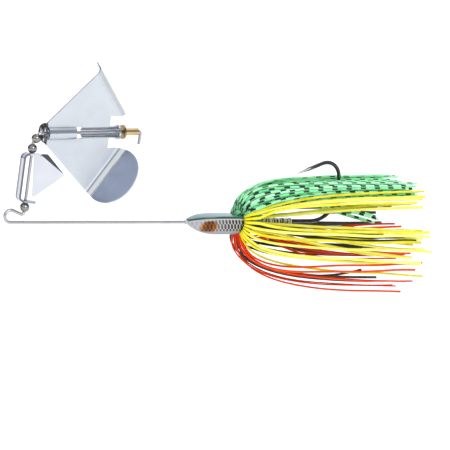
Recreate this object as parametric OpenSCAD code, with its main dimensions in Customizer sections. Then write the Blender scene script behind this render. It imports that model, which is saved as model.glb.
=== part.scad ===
// Buzzbait: a wire bait with a two-wing blade that turns on the upper arm, a swinging
// clacker on the riser and a skirted lead head with one upturned hook.
// Millimetres. The origin is the centre of the line tie, +X runs back along the arm,
// +Z is the side of the blade and the hook point, and the wire lies in the plane y = 0.

/* [Wire] */
// Diameter of the stainless wire
wire_d = 1; // [0.9:0.05:1.25]
// Centre-line radius of the line-tie loop
tie_r = 1.9; // [1.8:0.1:3]
// Angle by which the loop runs down past its top
tie_over = 22; // [16:1:28]
// Distance from the loop's centre to the foot of the riser
riser_x = 4.4; // [4.2:0.1:7]
// Lean of the riser back from the vertical
riser_lean = 3.9; // [0:0.1:8]
// Slope of the short stretch at the upper corner
corner_angle = 55; // [50:1:62]
// Rise of the blade shaft towards its tail
shaft_tilt = 1.7; // [0:0.1:3]
// Centre-line radius of the small bends
bend_r = 0.8; // [0.75:0.05:1.2]
// Length of the bent tail that stops the rivet
tail_l = 4; // [3:0.1:7]
// Angle of the tail below the bait's axis
tail_angle = 95; // [80:1:110]
// Length of the arm from the line tie to the nose of the head
arm_l = 61.8; // [45:0.1:90]

/* [Beads] */
// Diameter of the round beads
bead_d = 3; // [2.6:0.1:3.6]
// Radial clearance of a bead on the wire
bead_clear = 0.1; // [0.05:0.01:0.2]
// Gap between pieces that sit against each other on the wire
seat_gap = 0.1; // [0.05:0.01:0.2]

/* [Clacker] */
// Height of the clacker between its outer faces
clack_h = 15.2; // [12:0.1:20]
// Thickness of the clacker's sheet
clack_t = 0.6; // [0.4:0.05:0.8]
// Width of its strap and ears
clack_w = 3.8; // [3:0.1:5]
// Distance from the riser to the outside of the strap
clack_back = 2.8; // [2.6:0.1:4]
// Outside radius of the bends between strap and ears
clack_bend_r = 1.8; // [1:0.1:2.2]
// Reach of the fin behind the riser
fin_reach = 12; // [8:0.1:12]
// Height of the fin's tip above the lower ear
fin_tip_z = 9.3; // [6:0.1:9.4]
// Reach of the fin's upper corner
fin_top_x = 5.2; // [4.6:0.1:5.4]
// Distance of the fin's front edge behind the riser
fin_front_x = 1.3; // [1:0.1:1.6]
// Width of the bent strip along the fin's upper edge, at its wide end
fin_strip_w = 1.9; // [1.2:0.1:2]
// Angle by which that strip is bent away
fin_strip_bend = 30; // [20:1:45]
// Reach of the fin's lower corner
fin_low_x = 2.9; // [2:0.1:5]
// Height of the fin's lower corner
fin_low_z = 1.7; // [1:0.1:4]
// Turn of the clacker about the riser as it rests
clack_turn = -8; // [-20:1:20]

/* [Blade] */
// Distance from the shaft's first bend to the blade
blade_stand = 2; // [1.8:0.1:4]
// Length of the blade between its two tabs
blade_l = 24.7; // [23.5:0.1:30]
// Thickness of the blade's sheet
blade_t = 0.5; // [0.4:0.05:0.7]
// Half width of the blade at its front tab
blade_front = 3.2; // [3:0.1:4]
// Angle of the leading edges to the shaft
edge_angle = 44.6; // [42:0.1:46]
// Distance of the lobe's centre behind the front tab
lobe_x = 24.5; // [23.5:0.1:27]
// Radius of the round lobes
lobe_r = 9.3; // [8:0.1:10.5]
// Direction in which the lobe lies from its fold
fold_angle = 35.3; // [30:0.1:40]
// Distance from the start of the fold to the lobe's centre
fold_back = 5.3; // [4.5:0.1:7]
// Mid-sheet radius of the fold
fold_r = 2.9; // [2:0.1:4]
// Angle through which the lobes are folded
fold_turn = 75; // [45:1:85]
// Distance of the wings' inner rear edge behind the front tab
wing_back = 21.8; // [21:0.1:24]
// Mid-sheet radius of the two pressed channels
channel_r = 1.8; // [1.5:0.05:2.2]
// Distance of the slit between the channels behind the front tab
slit_x = 11.3; // [9:0.1:15]
// Width of the slit
slit_w = 2.8; // [0.8:0.1:3]
// Reach of the front tab past the shaft
tab_drop = 3.4; // [2.4:0.1:3.6]
// Forward lean of the front tab
tab_lean = 16; // [0:1:18]
// Radius of the round rear tab
tongue_r = 2.3; // [2:0.1:2.6]
// Offset of the round rear tab from the shaft
tongue_drop = 0.3; // [0:0.1:0.6]
// Radial clearance of the blade's holes on the shaft
blade_clear = 0.1; // [0.05:0.01:0.2]
// Turn of the blade about the shaft as it rests
blade_turn = 8; // [0:1:90]

/* [Rivet] */
// Free length on the shaft between blade and rivet
rear_slack = 1.5; // [1:0.1:3]
// Overall length of the rivet
rivet_l = 5.6; // [4:0.1:9]
// Diameter of the rivet's tube
rivet_d = 2.2; // [2:0.05:2.8]
// Diameter of the rivet's flange
flange_d = 4.4; // [3.6:0.1:5.5]
// Thickness of the rivet's flange
flange_t = 0.6; // [0.4:0.1:1]
// Radial clearance of the rivet on the shaft
rivet_clear = 0.1; // [0.05:0.01:0.2]

/* [Head] */
// Length of the painted head
head_l = 18.2; // [16:0.1:24]
// Width of the head across its shoulders
head_w = 8.4; // [7.6:0.1:11]
// Height of the ridge of the deck above the wire
deck_up = 2.5; // [2.2:0.1:4]
// Drop of the shoulders below the ridge
shoulder_drop = 0.8; // [0.3:0.1:1.2]
// Depth of the belly below the wire
belly_down = 4; // [3.6:0.1:6]
// Radius of the nose around the wire
nose_r = 0.95; // [0.85:0.05:1.2]
// Share of the head's length over which the nose swells
swell = 0.65; // [0.5:0.05:0.8]
// Length of the collar behind the head
collar_l = 7.5; // [6:0.1:9]
// Clearance of the casting around wire and hook
cast_clear = 0.02; // [0.01:0.01:0.05]
// Depth of the wire's anchor bend behind the nose
anchor_x = 7.2; // [5:0.1:8]
// Length of the wire's anchor leg
anchor_l = 2.2; // [1.6:0.1:2.6]

/* [Hook] */
// Diameter of the hook's wire
hook_d = 1.25; // [1:0.05:1.5]
// Height of the hook's shank above the arm
hook_up = 0.3; // [0:0.05:0.6]
// Centre-line radius of the hook's eye
eye_r = 1.4; // [1.2:0.05:1.6]
// Distance from the nose to the centre of the eye
eye_x = 11.2; // [10:0.1:13]
// Distance from the nose to the back of the bend
hook_l = 54.7; // [45:0.1:65]
// Lower radius of the bend
heel_r = 9.5; // [6:0.1:10]
// Upper radius of the bend
crown_r = 4.8; // [3:0.1:5]
// Height of the point above the shank
gap_h = 15.3; // [14.5:0.1:20]
// Distance from the back of the bend to the point
throat_l = 15.9; // [14:0.1:20]
// Slope of the point's leg
point_angle = 20; // [10:1:25]
// Length of the ground point
point_l = 5; // [3:0.1:7]
// Diameter of the tip
tip_d = 0.16; // [0.1:0.02:0.3]

/* [Trailer keeper] */
// Length of the ribbed sleeve
keeper_l = 12; // [6:0.1:14]
// Diameter of the sleeve
keeper_d = 1.7; // [1.6:0.05:2.2]
// Diameter of the sleeve's ribs
keeper_rib_d = 1.95; // [1.8:0.05:2.6]
// Number of ribs
keeper_ribs = 5; // [2:1:8]
// Width of a rib
keeper_rib_w = 0.7; // [0.4:0.1:1]
// Radial clearance of the sleeve on the hook
keeper_clear = 0.03; // [0.02:0.01:0.1]

/* [Skirt] */
// Strands of each colour: green, yellow, red and black
strand_counts = [9, 9, 5, 6]; // [3:1:9]
// Full width of a strand
strand_w = 0.95; // [0.7:0.05:1.2]
// Thickness of a strand
strand_t = 0.45; // [0.3:0.05:0.6]
// Angle left free of strands for the hook
hook_lane = 32; // [30:1:45]
// Radius of the middle of the strands under the band
root_r = 3.35; // [3.2:0.05:4]
// Thickness of a strand under the band, where it is squeezed narrow
root_t = 0.6; // [0.5:0.05:0.8]
// Clearance between strands, collar and band
root_clear = 0.05; // [0.03:0.01:0.1]
// Width of the band
band_w = 2.2; // [1.5:0.1:3]
// Thickness of the band
band_t = 0.75; // [0.5:0.05:1]
// Radius of the fold of a strand in front of the band
curl_r = 0.75; // [0.6:0.05:0.9]
// Gap between the folded strands and the head
curl_gap = 0.25; // [0.2:0.05:0.5]
// Flare of the outer tails above the hook
flare_top = 14.7; // [11:0.1:20]
// Flare of the outer tails below the hook
flare_low = 23.5; // [15:0.1:26]
// Length over which the tails of each colour spread
spreads = [6.3, 17, 9, 8]; // [5:0.1:24]
// Share of the outer flare that the inner tails of each colour reach
inner_shares = [0.78, 0.78, 0.5, 0.55]; // [0.4:0.01:0.8]
// Turn of a strand through its fold in front of the band
curl_turn = 112; // [105:1:125]
// Length over which the tails swing round to the angle of their ends
swing_l = 12; // [8:0.5:24]
// Length of the skirt behind the head
skirt_l = 63; // [50:1:85]
// Greatest difference in length between tails
ragged = 5; // [0:0.5:8]

/* [Hidden] */
$fn = 64;
eps = 0.01;
// Cutting bodies and hidden overlaps reach this far past a face
over = 1;
// Bent stretches of wire are thicker by this much all round, and straights reach into them
bend_swell = 0.02;
lap = 0.05;

// Directions and angles in the plane of the wire
function heading(a, b) = atan2(b[1] - a[1], b[0] - a[0]);
function turn(a, b, c) = (heading(b, c) - heading(a, b) + 540) % 360 - 180;
function along(angle) = [cos(angle), sin(angle)];
function cross2(a, b) = a[0] * b[1] - a[1] * b[0];
function bend_trim(angle) = bend_r * tan(angle / 2);

// Corner points of the wire, as [x, z], from the line tie to the tail
arm_z = -tie_r;
tie_end = tie_r * along(90 - tie_over);
riser_dir = along(90 - riser_lean);
tie_run = cross2([riser_x, 0] - tie_end, riser_dir) / cross2(along(-tie_over), riser_dir);
riser_foot = tie_end + tie_run * along(-tie_over);

// Stack of pieces along the riser, measured from its foot
bead_hole_d = wire_d + 2 * bead_clear;
bead_half = sqrt(pow(bead_d / 2, 2) - pow(bead_hole_d / 2, 2));
lower_bead_s = bend_trim(90 - riser_lean + tie_over) + seat_gap + bead_half;
clack_s = lower_bead_s + bead_half + seat_gap;
upper_bead_s = clack_s + clack_h + seat_gap + bead_half;
corner_turn = 90 - riser_lean - corner_angle;
corner_s = upper_bead_s + bead_half + seat_gap + bend_trim(corner_turn);
corner = riser_foot + corner_s * riser_dir;

// Bead on the short stretch between the two upper bends
corner_bead_s = bend_trim(corner_turn) + seat_gap + bead_half;
shaft_turn = corner_angle - shaft_tilt;
shaft_start = corner
    + (corner_bead_s + bead_half + seat_gap + bend_trim(shaft_turn)) * along(corner_angle);

// Stack of pieces along the shaft, measured from its first corner
shaft_dir = along(shaft_tilt);
rivet_s = blade_stand + blade_l + rear_slack;
tail_s = rivet_s + rivet_l + seat_gap + bend_trim(shaft_tilt + tail_angle);
tail_corner = shaft_start + tail_s * shaft_dir;
tail_end = tail_corner + tail_l * along(-tail_angle);
upper_run = [tie_end, riser_foot, corner, shaft_start, tail_corner, tail_end];

// Head, hook and skirt positions along the bait
nose_x = arm_l;
head_back = nose_x + head_l;
arm_end = [nose_x + anchor_x, arm_z];
arm_run = [[0, arm_z], arm_end, arm_end - [0, anchor_l]];
shank_z = arm_z + hook_up;
eye_back = nose_x + eye_x + eye_r;
heel = [nose_x + hook_l, shank_z];
point = heel + [-throat_l, gap_h];
crown = [heel[0], point[1] + throat_l * tan(point_angle)];
point_base = point + point_l * along(point_angle);

// Clacker: straight run of its ears, and the crease that the fin's strip is bent along
ear_run = 0.36 * clack_w;
fin_low_cut = 0.5;
fin_tip = [fin_reach, fin_tip_z];
fin_crease = [fin_top_x - 1.2 * fin_strip_w, clack_h - eps];
crease_inset = 0.05;
strip_start = 0.1;
strip_rise = 1.4 * fin_strip_w;
strip_tip_w = 0.25;

// Blade outline: the lobe is tangent to the leading edge
lobe_z = blade_front + lobe_x * tan(edge_angle) - lobe_r / cos(edge_angle);
fold_dir = along(fold_angle);
fold_start = [lobe_x, lobe_z] - fold_back * fold_dir;
fold_arc = fold_r * fold_turn * PI / 180;
fold_steps = 8;
// The fold is narrower than the sheet on either side of it by this much
fold_inset = 0.03;
blade_hole_d = wire_d + 2 * blade_clear;
// Leading edge and lobe as seen in the flat sheet from the fold: across is measured from it
edge_normal = along(edge_angle + 90 - fold_angle);
edge_meets_lobe = fold_back + lobe_r * edge_normal[0];
function lobe_half(across) = sqrt(max(0, lobe_r * lobe_r - pow(fold_back - across, 2)));
function edge_at(across) = (lobe_r - (across - fold_back) * edge_normal[0]) / edge_normal[1];
function upper_edge(across) = across < edge_meets_lobe ? edge_at(across) : lobe_half(across);

// Skirt: each strand passes under the band and has two tails, one folded back over it
strand_total = strand_counts[0] + strand_counts[1] + strand_counts[2] + strand_counts[3];
strand_step = (360 - hook_lane) / (strand_total - 1);
colour_names = ["green", "yellow", "red", "black"];
colour_tints = ["mediumseagreen", "yellow", "orangered", "dimgray"];
first_of = [0, strand_counts[0], strand_counts[0] + strand_counts[1],
    strand_total - strand_counts[3], strand_total];
// Strands lie together in groups: the first strand of each, and the angles about the shank at
// which its first and last tails end. One gap is left for the hook and one beside the keeper.
strand_groups = [[0, -52, -16], [5, 16, 43], [9, 51, 66], [11, 88, 136], [18, 146, 184], [23, 200, 296]];
// The ring starts so that the first group lies on the far side of the hook
ring_shift = strand_groups[1][0];
function colour_of(i) = i < first_of[1] ? 0 : i < first_of[2] ? 1 : i < first_of[3] ? 2 : 3;
function strand_name(i) = str(colour_names[colour_of(i)], "_strand_", i - first_of[colour_of(i)] + 1);
function strand_angle(i) =
    hook_lane / 2 + strand_step * (i - ring_shift) - (i < ring_shift ? hook_lane - strand_step : 0);
function group_of(i) = max([for (k = [0 : len(strand_groups) - 1]) if (strand_groups[k][0] <= i) k]);
function group_end(k) = k + 1 < len(strand_groups) ? strand_groups[k + 1][0] : strand_total;
function end_angle(i) =
    let (k = group_of(i), group = strand_groups[k])
    group[1] + (group[2] - group[1]) * (i - group[0]) / (group_end(k) - group[0] - 1);
function vary(i, part) = sin(i * 137.5 + part * 71);
collar_r = root_r - root_t / 2 - root_clear;
band_r = root_r + root_t / 2 + root_clear;
curl_x = head_back + curl_gap + strand_t / 2 + curl_r;
band_x = curl_x + root_clear;
under_l = band_w + 2 * root_clear;
skirt_end = head_back + skirt_l;

// Straight round bar between two points of the wire plane
module bar(a, b, d) {
    translate([a[0], 0, a[1]])
        rotate([0, 90 - heading(a, b), 0])
            cylinder(d = d, h = norm(b - a));
}

// Round bar bent about a centre in the wire plane, from one angle on by a sweep
module bent_bar(centre, r, from, sweep, d) {
    translate([centre[0], 0, centre[1]])
        rotate([90, 0, 0])
            rotate([0, 0, from])
                rotate_extrude(angle = sweep)
                    translate([r, 0])
                        circle(d = d, $fn = 32);
}

// Bar along corner points with a bend radius at each inner corner. Bends are a hair
// thicker than the straights, which reach a little way into them and into what comes before.
module bar_run(points, radii, d, start_lap = 0) {
    last = len(points) - 1;
    cut = [for (i = [0 : last])
        i == 0 ? -start_lap
            : i == last ? 0
            : radii[i - 1] * tan(abs(turn(points[i - 1], points[i], points[i + 1])) / 2)];
    for (i = [0 : last - 1]) {
        way = along(heading(points[i], points[i + 1]));
        from_lap = i == 0 ? 0 : lap;
        to_lap = i == last - 1 ? 0 : lap;
        bar(points[i] + (cut[i] - from_lap) * way, points[i + 1] - (cut[i + 1] - to_lap) * way, d);
    }
    for (i = [1 : last - 1]) {
        angle = heading(points[i - 1], points[i]);
        bend = turn(points[i - 1], points[i], points[i + 1]);
        side = sign(bend);
        start = points[i] - cut[i] * along(angle);
        centre = start + radii[i - 1] * along(angle + 90 * side);
        from = angle - 90 * side + min(bend, 0);
        bent_bar(centre, radii[i - 1], from, abs(bend), d + 2 * bend_swell);
    }
}

// Place children on the riser, with +Z up along it
module on_riser(s) {
    at = riser_foot + s * riser_dir;
    translate([at[0], 0, at[1]])
        rotate([0, riser_lean, 0])
            children();
}

// Place children on the shaft, with +X back along it
module on_shaft(s) {
    at = shaft_start + s * shaft_dir;
    translate([at[0], 0, at[1]])
        rotate([0, -shaft_tilt, 0])
            children();
}

// Part of the wire that the head is cast around
module wire_arm(d) {
    bar_run(arm_run, [bend_r], d, start_lap = lap);
}

module wire_form() {
    color("silver") {
        wire_arm(wire_d);
        bent_bar([0, 0], tie_r, 90 - tie_over, 180 + tie_over, wire_d + 2 * bend_swell);
        bar_run(upper_run, [for (i = [1 : len(upper_run) - 2]) bend_r], wire_d, start_lap = lap);
    }
}

// Bead with its hole along Z
module bead() {
    color("gainsboro")
        difference() {
            sphere(d = bead_d);
            cylinder(d = bead_hole_d, h = bead_d + 2 * over, center = true);
        }
}

module corner_bead() {
    at = corner + corner_bead_s * along(corner_angle);
    translate([at[0], 0, at[1]])
        rotate([0, 90 - corner_angle, 0])
            bead();
}

module upper_bead() {
    on_riser(upper_bead_s) bead();
}

module lower_bead() {
    on_riser(lower_bead_s) bead();
}

// Rectangle from the strap to the ears' middle, with its two strap corners rounded
module strap_outline(inset, r) {
    low = inset;
    high = clack_h - inset;
    left = inset - clack_back;
    translate([left + r, low]) square([-left - r, high - low]);
    translate([left, low + r]) square([r + eps, high - low - 2 * r]);
    for (z = [low + r, high - r]) translate([left + r, z]) circle(r = r);
}

// Ear seen from above: square at the riser, round at its free end
module ear_outline() {
    translate([0, -clack_w / 2]) square([ear_run, clack_w]);
    translate([ear_run, 0]) circle(d = clack_w);
}

// Fin without its bent strip: it hangs from the upper ear
module fin_outline() {
    polygon([
        [fin_front_x, clack_h - eps],
        [fin_low_x - fin_low_cut, fin_low_z + fin_low_cut],
        [fin_low_x, fin_low_z],
        fin_tip,
        fin_crease]);
}

// Strip along the fin's upper edge, bent away about a crease just inside the near face
module fin_strip() {
    run = norm(fin_tip - fin_crease);
    translate([fin_crease[0], crease_inset - clack_t, fin_crease[1]])
        rotate([0, -heading(fin_crease, fin_tip), 0])
            rotate([-fin_strip_bend, 0, 0])
                translate([0, clack_t, 0])
                    rotate([90, 0, 0])
                        linear_extrude(clack_t)
                            polygon([[strip_start, 0], [0.94 * run, 0], [0.9 * run, strip_tip_w],
                                [strip_rise, fin_strip_w]]);
}

module clacker() {
    color("lightsteelblue")
        on_riser(clack_s)
            rotate([0, 0, clack_turn])
                difference() {
                    union() {
                        rotate([90, 0, 0])
                            linear_extrude(clack_w, center = true)
                                difference() {
                                    strap_outline(0, clack_bend_r);
                                    strap_outline(clack_t, clack_bend_r - clack_t);
                                    translate([-eps, clack_t]) square([over, clack_h - 2 * clack_t]);
                                }
                        for (z = [0, clack_h - clack_t])
                            translate([0, 0, z]) linear_extrude(clack_t) ear_outline();
                        translate([0, clack_w / 2, 0]) {
                            rotate([90, 0, 0])
                                linear_extrude(clack_t) fin_outline();
                            fin_strip();
                        }
                    }
                    translate([0, 0, -over])
                        cylinder(d = bead_hole_d, h = clack_h + 2 * over);
                }
}

// Flat stretch of a wing, up to the start of the fold
module wing_flat_outline() {
    intersection() {
        union() {
            polygon([
                [0, channel_r],
                [0, blade_front],
                [lobe_x - lobe_r * sin(edge_angle), lobe_z + lobe_r * cos(edge_angle)],
                [lobe_x, lobe_z],
                [wing_back, lobe_z - sqrt(lobe_r * lobe_r - pow(lobe_x - wing_back, 2))],
                [wing_back, channel_r]]);
            translate([lobe_x, lobe_z]) circle(r = lobe_r);
        }
        translate(fold_start)
            rotate(fold_angle)
                translate([-2 * lobe_x, -2 * lobe_x]) square([2 * lobe_x, 4 * lobe_x]);
    }
}

// Fold of a wing, its sides following the flat outline round the bend
module wing_fold() {
    steps = [for (i = [0 : fold_steps]) fold_arc * i / fold_steps];
    function out(across) = fold_r * sin(across / fold_arc * fold_turn);
    function low(across) = fold_inset - lobe_half(across);
    function high(across) = upper_edge(across) - fold_inset;
    intersection() {
        translate([0, fold_r, 0])
            rotate([0, 0, -90])
                rotate_extrude(angle = fold_turn)
                    translate([fold_r - blade_t / 2, -lobe_r - over])
                        square([blade_t, 2 * (lobe_r + over)]);
        translate([0, 2 * fold_r, 0])
            rotate([90, 0, 0])
                linear_extrude(4 * fold_r)
                    polygon(concat(
                        [[-blade_t, low(0)]],
                        [for (s = steps) [out(s), low(s)]],
                        [[fold_r + blade_t, low(fold_arc)]],
                        [[fold_r + blade_t, high(fold_arc)]],
                        [for (i = [fold_steps : -1 : 0]) [out(steps[i]), high(steps[i])]],
                        [[-blade_t, high(0)]]));
    }
}

module wing() {
    rotate([90, 0, 0])
        linear_extrude(blade_t, center = true) wing_flat_outline();
    translate([fold_start[0], 0, fold_start[1]])
        rotate([0, -fold_angle, 0]) {
            wing_fold();
            translate([fold_r * sin(fold_turn), fold_r * (1 - cos(fold_turn)), 0])
                rotate([0, 0, fold_turn])
                    rotate([90, 0, 0])
                        linear_extrude(blade_t, center = true)
                            intersection() {
                                translate([fold_back - fold_arc, 0]) circle(r = lobe_r);
                                translate([0, -2 * lobe_r]) square(4 * lobe_r);
                            }
        }
}

// Half tube pressed out of the blade's middle, towards one side
module channel(from, to, side) {
    translate([from, 0, 0])
        rotate([0, 90, 0])
            linear_extrude(to - from)
                half_ring(side);
}

module half_ring(side) {
    intersection() {
        difference() {
            circle(r = channel_r + blade_t / 2);
            circle(r = channel_r - blade_t / 2);
        }
        half_plane(side);
    }
}

module half_plane(side) {
    reach = 4 * channel_r;
    translate([-reach, side > 0 ? 0 : -reach]) square([2 * reach, reach]);
}

module half_disc(side) {
    intersection() {
        circle(r = channel_r + blade_t / 2);
        half_plane(side);
    }
}

// Sheet that closes a channel's end, square to the shaft
module tab(x) {
    translate([x, 0, 0])
        rotate([0, 90, 0])
            linear_extrude(blade_t) {
                children();
            }
}

// Front tab: half an oval beyond the sheet's far face
module front_tab_outline() {
    steps = 16;
    polygon(concat(
        [[blade_front, -blade_t / 2 + fold_inset]],
        [for (i = [0 : steps])
            [blade_front * cos(180 * i / steps), tab_drop * sin(180 * i / steps)]],
        [[-blade_front, -blade_t / 2 + fold_inset]]));
}

module blade() {
    color("aliceblue")
        on_shaft(blade_stand)
            rotate([blade_turn, 0, 0])
                difference() {
                    union() {
                        wing();
                        rotate([180, 0, 0]) wing();
                        channel(0, slit_x - slit_w / 2, -1);
                        channel(slit_x + slit_w / 2, blade_l, 1);
                        tab(0) half_disc(-1);
                        rotate([0, 0, tab_lean]) tab(0) front_tab_outline();
                        tab(blade_l - blade_t) {
                            half_disc(1);
                            translate([0, -tongue_drop]) circle(r = tongue_r);
                        }
                    }
                    translate([-over, 0, 0])
                        rotate([0, 90, 0])
                            cylinder(d = blade_hole_d, h = blade_l + 2 * over);
                }
}

module rivet() {
    bore_r = wire_d / 2 + rivet_clear;
    color("goldenrod")
        on_shaft(rivet_s)
            rotate([0, 90, 0])
                rotate_extrude()
                    polygon([
                        [bore_r, 0], [flange_d / 2, 0], [flange_d / 2, flange_t],
                        [rivet_d / 2, flange_t], [rivet_d / 2, rivet_l], [bore_r, rivet_l]]);
}

// Swell of the head from its nose, and its slight draw-in at the back
head_rings = 14;
half_points = 7;
// Rings crowd towards the nose, and the last stretch draws in by a small share
nose_crowd = 1.4;
draw_from = 0.8;
draw_share = 0.08;
function swell_at(t) = 1 - pow(1 - min(t / swell, 1), 2);
function draw_in(t) = 1 - draw_share * pow(max(0, (t - draw_from) / (1 - draw_from)), 2);
function head_half(t) = (nose_r + (head_w / 2 - nose_r) * swell_at(t)) * draw_in(t);
function ridge_z(t) = arm_z + (nose_r + (deck_up - nose_r) * swell_at(t)) * draw_in(t);
function shoulder_z(t) = ridge_z(t) - shoulder_drop * swell_at(t) - nose_r * (1 - swell_at(t));
function belly_z(t) = arm_z - (nose_r + (belly_down - nose_r) * swell_at(t)) * draw_in(t);
// One cross-section, from the near shoulder over the deck and back under the belly
function head_ring(t) = concat(
    [for (i = [0 : half_points - 1])
        let (a = 180 * i / half_points)
        [nose_x + head_l * t, -head_half(t) * cos(a),
         shoulder_z(t) + (ridge_z(t) - shoulder_z(t)) * sin(a)]],
    [for (i = [0 : 2 * half_points - 1])
        let (a = 180 * i / (2 * half_points))
        [nose_x + head_l * t, head_half(t) * cos(a),
         shoulder_z(t) - (shoulder_z(t) - belly_z(t)) * sin(a)]]);

// Closed skin over rings of equal size, made of triangles
module skin(rings) {
    n = len(rings[0]);
    last = len(rings) - 1;
    polyhedron(
        points = [for (ring = rings) for (p = ring) p],
        faces = concat(
            [for (j = [0 : last - 1]) for (i = [0 : n - 1])
                [j * n + i, j * n + (i + 1) % n, (j + 1) * n + (i + 1) % n]],
            [for (j = [0 : last - 1]) for (i = [0 : n - 1])
                [j * n + i, (j + 1) * n + (i + 1) % n, (j + 1) * n + i]],
            [for (i = [1 : n - 2]) [0, i + 1, i]],
            [for (i = [1 : n - 2]) [last * n, last * n + i, last * n + i + 1]]));
}

module head() {
    color("slategray")
        difference() {
            union() {
                skin([for (j = [0 : head_rings]) head_ring(pow(j / head_rings, nose_crowd))]);
                translate([head_back - over, 0, shank_z])
                    rotate([0, 90, 0])
                        cylinder(r = collar_r, h = collar_l + over);
            }
            wire_arm(wire_d + 2 * cast_clear);
            hook_shank(hook_d + 2 * cast_clear);
        }
}

// Eye and shank of the hook, which the head is cast around
module hook_eye(d) {
    translate([nose_x + eye_x, 0, shank_z])
        rotate_extrude()
            translate([eye_r, 0]) circle(d = d + 2 * bend_swell, $fn = 32);
}

module hook_shank(d) {
    hook_eye(d);
    bar([eye_back, shank_z], [head_back + collar_l, shank_z], d);
}

module hook() {
    color("dimgray") {
        hook_eye(hook_d);
        bar_run([[eye_back, shank_z], heel, crown, point_base - lap * along(point_angle)],
            [heel_r, crown_r], hook_d);
        translate([point_base[0], 0, point_base[1]])
            rotate([0, -90 - point_angle, 0])
                cylinder(d1 = hook_d + 2 * bend_swell, d2 = tip_d, h = point_l);
    }
}

module trailer_keeper() {
    start = head_back + collar_l + seat_gap;
    pitch = (keeper_l - keeper_rib_w) / (keeper_ribs - 1);
    color("darkkhaki", 0.6)
        translate([start, 0, shank_z])
            rotate([0, 90, 0])
                difference() {
                    union() {
                        cylinder(d = keeper_d, h = keeper_l);
                        for (i = [0 : keeper_ribs - 1])
                            translate([0, 0, i * pitch])
                                cylinder(d = keeper_rib_d, h = keeper_rib_w);
                    }
                    translate([0, 0, -over])
                        cylinder(d = hook_d + 2 * keeper_clear, h = keeper_l + 2 * over);
                }
}

module skirt_band() {
    color("black")
        translate([band_x, 0, shank_z])
            rotate([0, 90, 0])
                rotate_extrude()
                    translate([band_r, 0]) square([band_t, band_w]);
}

// Path of one strand as [x, radius] points: inner tail, under the band, curl, outer tail
tail_steps = 9;
curl_steps = 4;
// Path points crowd towards the band, and tails of one ring differ a little in reach
inner_crowd = 1.5;
outer_crowd = 2;
// Outer tails rise steeply at first and then level out
outer_rise = 0.65;
inner_vary = 0.06;
outer_vary = 0.06;
// Share of the room between neighbours that a strand may fill
room_share = 0.86;
function flare_of(angle) = (flare_top + flare_low) / 2 + (flare_top - flare_low) / 2 * cos(angle);
function tail_end_x(i, part) = skirt_end - ragged / 2 * (1 + vary(i, part));
function inner_tail(i) =
    let (from = band_x + under_l, to = tail_end_x(i, 0), spread = spreads[colour_of(i)],
        share = inner_shares[colour_of(i)] * (1 + inner_vary * vary(i, 1)),
        reach = flare_of(end_angle(i)) * share)
    [for (j = [tail_steps : -1 : 1])
        let (x = (to - from) * pow(j / tail_steps, inner_crowd))
        [from + x, root_r + (reach - root_r) * (1 - exp(-pow(x / (2 * spread), inner_crowd)))]];
function rise(x, spread) = 1 - exp(-pow(x / spread, outer_rise));
function outer_tail(i) =
    let (spread = spreads[colour_of(i)], to = tail_end_x(i, 2),
        reach = flare_of(end_angle(i)) * (1 - outer_vary + outer_vary * vary(i, 3)),
        from = [curl_x - curl_r * sin(curl_turn), root_r + curl_r * (1 - cos(curl_turn))],
        length = to - from[0])
    concat(
        [for (j = [1 : curl_steps])
            let (a = curl_turn * j / curl_steps)
            [curl_x - curl_r * sin(a), root_r + curl_r * (1 - cos(a))]],
        [for (j = [1 : tail_steps])
            let (x = length * pow(j / tail_steps, outer_crowd))
            [from[0] + x, from[1] + (reach - from[1]) * rise(x, spread) / rise(length, spread)]]);
function strand_path(i) = concat(
    inner_tail(i), [[band_x + under_l, root_r], [curl_x, root_r]], outer_tail(i));
// Width limited to the room between neighbours, and thickness that grows where it is narrow
function half_width(r) = min(strand_w, room_share * r * strand_step * PI / 180) / 2;
function half_thick(r) = max(strand_t / 2, root_t / 2 * min(1, pow(root_r / r, 4)));
// Angle of a strand about the shank, and the place of one of its path points
function swung(i, x) = strand_angle(i)
    + (end_angle(i) - strand_angle(i)) * (1 - exp(-max(0, x - band_x - under_l) / swing_l));
function placed(i, p) =
    let (a = swung(i, p[0])) [p[0], -p[1] * sin(a), shank_z + p[1] * cos(a)];
function unit(v) = v / norm(v);
// Four corners of the strand at one path point
function strand_ring(i, path, j) =
    let (p = path[j], a = swung(i, p[0]), tangent = [0, -cos(a), -sin(a)],
        way = unit(placed(i, path[min(j + 1, len(path) - 1)]) - placed(i, path[max(j - 1, 0)])),
        side = unit(tangent - (tangent * way) * way), up = cross(side, way))
    [for (k = [[-1, -1], [1, -1], [1, 1], [-1, 1]])
        placed(i, p) + k[0] * half_width(p[1]) * side + k[1] * half_thick(p[1]) * up];

module strand(i) {
    path = strand_path(i);
    color(colour_tints[colour_of(i)])
        skin([for (j = [0 : len(path) - 1]) strand_ring(i, path, j)]);
}

wire_form();
corner_bead();
upper_bead();
lower_bead();
clacker();
blade();
rivet();
head();
hook();
trailer_keeper();
skirt_band();
for (i = [0 : strand_total - 1])
    strand(i);
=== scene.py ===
import math
import random

import bpy
from mathutils import Matrix, Vector


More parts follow.
